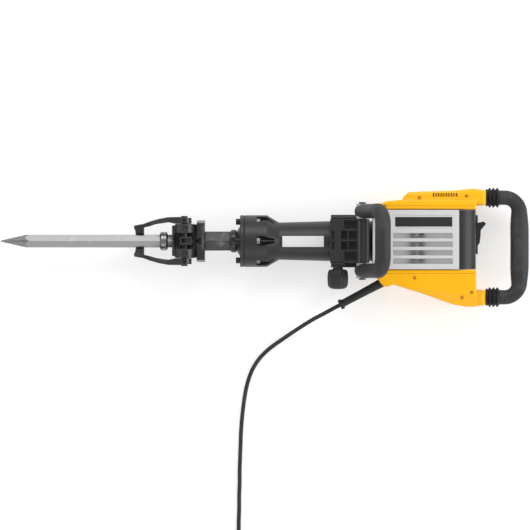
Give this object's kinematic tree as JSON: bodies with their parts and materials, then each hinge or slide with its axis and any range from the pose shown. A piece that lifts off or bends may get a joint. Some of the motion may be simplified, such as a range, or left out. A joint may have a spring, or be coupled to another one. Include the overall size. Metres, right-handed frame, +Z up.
{
  "type": "electric jackhammer",
  "caption": "Electric demolition hammer lying on its side, with a point chisel in a latch holder, a looped side handle, a sprung rear handle and a rubber mains cord.",
  "frame": {"origin": "middle of the tool's footprint on the floor, with the tool lying on its side and the free cord left out", "axes": "+X along the hammer from the chisel to the rear handle, +Y towards the vented yellow shell, +Z up"},
  "size_m": [1.161, 0.9517, 0.2477],
  "materials": {
    "chisel_steel": "satin ground steel",
    "black_forging": "black oxide forging",
    "black_casting": "black powder-coated die casting",
    "bright_steel": "bright zinc-plated",
    "black_bolt": "black oxide screw",
    "tube_steel": "honed",
    "bronze": "sintered bronze",
    "grey_casting": "as cast",
    "copper": "enamelled winding",
    "lamination": "stacked laminations",
    "ivory_plastic": "moulded",
    "green_board": "potted circuit",
    "yellow_shell": "satin moulded",
    "silver_panel": "satin pressed",
    "blank_label": "satin blank",
    "black_plastic": "moulded",
    "black_rubber": "soft grip",
    "cord_rubber": "mains cord",
    "brass_pins": "plated"
  },
  "bodies": {
    "root": {"tool_holder": "black_forging", "retainer_bushes": "bronze", "holder_nut": "black_forging", "front_cover": "black_casting", "flange_bolts": "black_bolt", "flange_nuts": "bright_steel", "barrel": "black_casting", "barrel_label": "blank_label", "cylinder": "tube_steel", "damper_ring": "black_rubber", "gear_case": "grey_casting", "gear_plate": "grey_casting", "gear_cover": "grey_casting", "bearings": "bright_steel", "stator": "lamination", "field_windings": "copper", "motor_case": "black_plastic", "brush_gear": "brass_pins", "control_module": "green_board", "upper_shell": "yellow_shell", "lower_shell": "yellow_shell", "side_panel_near": "silver_panel", "side_panel_far": "silver_panel", "rear_cover": "black_plastic", "shell_screws": "black_bolt", "switch_bezel": "black_plastic", "rear_bellows": "black_rubber", "handle_springs": "bright_steel", "cord_sleeve": "cord_rubber", "cord_run": "cord_rubber", "cord_coil": "cord_rubber", "coil_tie": "black_plastic", "plug_body": "cord_rubber", "plug_pins": "brass_pins"},
    "chisel": {"chisel": "chisel_steel"},
    "retainer": {"retainer_bail": "black_forging", "retainer_pin": "bright_steel"},
    "beat_piece": {"beat_piece": "tube_steel"},
    "ram": {"ram": "tube_steel"},
    "piston": {"piston": "grey_casting"},
    "con_rod": {"con_rod": "grey_casting", "con_rod_pins": "bright_steel"},
    "crank": {"crankshaft": "tube_steel", "crank_gear": "tube_steel"},
    "counter": {"counter_shaft": "tube_steel", "counter_gear": "tube_steel"},
    "motor": {"motor_shaft": "tube_steel", "armature": "lamination", "commutator": "copper", "fan": "ivory_plastic"},
    "side_clamp": {"clamp_bracket": "black_casting", "clamp_band": "black_casting", "side_handle_pin": "black_bolt"},
    "side_handle": {"side_handle_core": "grey_casting", "side_grip": "black_rubber"},
    "clamp_knob": {"clamp_bolt": "bright_steel", "clamp_knob": "black_plastic"},
    "rocker": {"rocker": "black_plastic"},
    "rear_handle": {"rear_handle_core": "bright_steel", "rear_grip": "black_rubber"}
  },
  "joints": [
    {"name": "chisel_slide", "type": "slide", "parent": "root", "child": "chisel", "axis": [-1, 0, 0], "range_m": [0, 0.034]},
    {"name": "retainer_swing", "type": "hinge", "parent": "root", "child": "retainer", "pos_m": [-0.177, 0.014, 0.091], "axis": [0, 1, 0], "range_deg": [-75, 0]},
    {"name": "beat_piece_slide", "type": "slide", "parent": "root", "child": "beat_piece", "axis": [-1, 0, 0], "range_m": [0, 0.006]},
    {"name": "ram_slide", "type": "slide", "parent": "root", "child": "ram", "axis": [1, 0, 0], "range_m": [-0.016, 0.026]},
    {"name": "piston_slide", "type": "slide", "parent": "root", "child": "piston", "axis": [1, 0, 0], "range_m": [0, 0.032]},
    {"name": "con_rod_swing", "type": "hinge", "parent": "piston", "child": "con_rod", "pos_m": [0.2, 0.014, 0.058], "axis": [0, 1, 0], "range_deg": [-8, 8]},
    {"name": "crank_spin", "type": "hinge", "parent": "root", "child": "crank", "pos_m": [0.3, 0.014, 0.058], "axis": [0, 1, 0], "continuous": true},
    {"name": "counter_spin", "type": "hinge", "parent": "root", "child": "counter", "pos_m": [0.345, 0.014, 0.058], "axis": [0, 1, 0], "continuous": true},
    {"name": "motor_spin", "type": "hinge", "parent": "root", "child": "motor", "pos_m": [0.39, 0.014, 0.058], "axis": [0, 1, 0], "continuous": true},
    {"name": "side_clamp_swivel", "type": "hinge", "parent": "root", "child": "side_clamp", "pos_m": [0.185, 0.014, 0.058], "axis": [1, 0, 0], "range_deg": [-180, 5]},
    {"name": "side_handle_tilt", "type": "hinge", "parent": "side_clamp", "child": "side_handle", "pos_m": [0.213, 0.014, 0.11], "axis": [0, 1, 0], "range_deg": [-40, 0]},
    {"name": "clamp_knob_turn", "type": "hinge", "parent": "side_clamp", "child": "clamp_knob", "pos_m": [0.1595, -0.066, 0.11], "axis": [0, 1, 0], "range_deg": [0, 540]},
    {"name": "rocker_tilt", "type": "hinge", "parent": "root", "child": "rocker", "pos_m": [0.464, 0.03, 0.058], "axis": [0, 0, 1], "range_deg": [0, 22]},
    {"name": "rear_handle_slide", "type": "slide", "parent": "root", "child": "rear_handle", "axis": [-1, 0, 0], "range_m": [0, 0.008], "stiffness_N_per_m": 9000, "deforming": ["rear_bellows", "handle_springs"]}
  ],
  "couplings": [
    {"joint": "counter_spin", "follows": "crank_spin", "ratio": -3.5},
    {"joint": "motor_spin", "follows": "crank_spin", "ratio": 14}
  ]
}
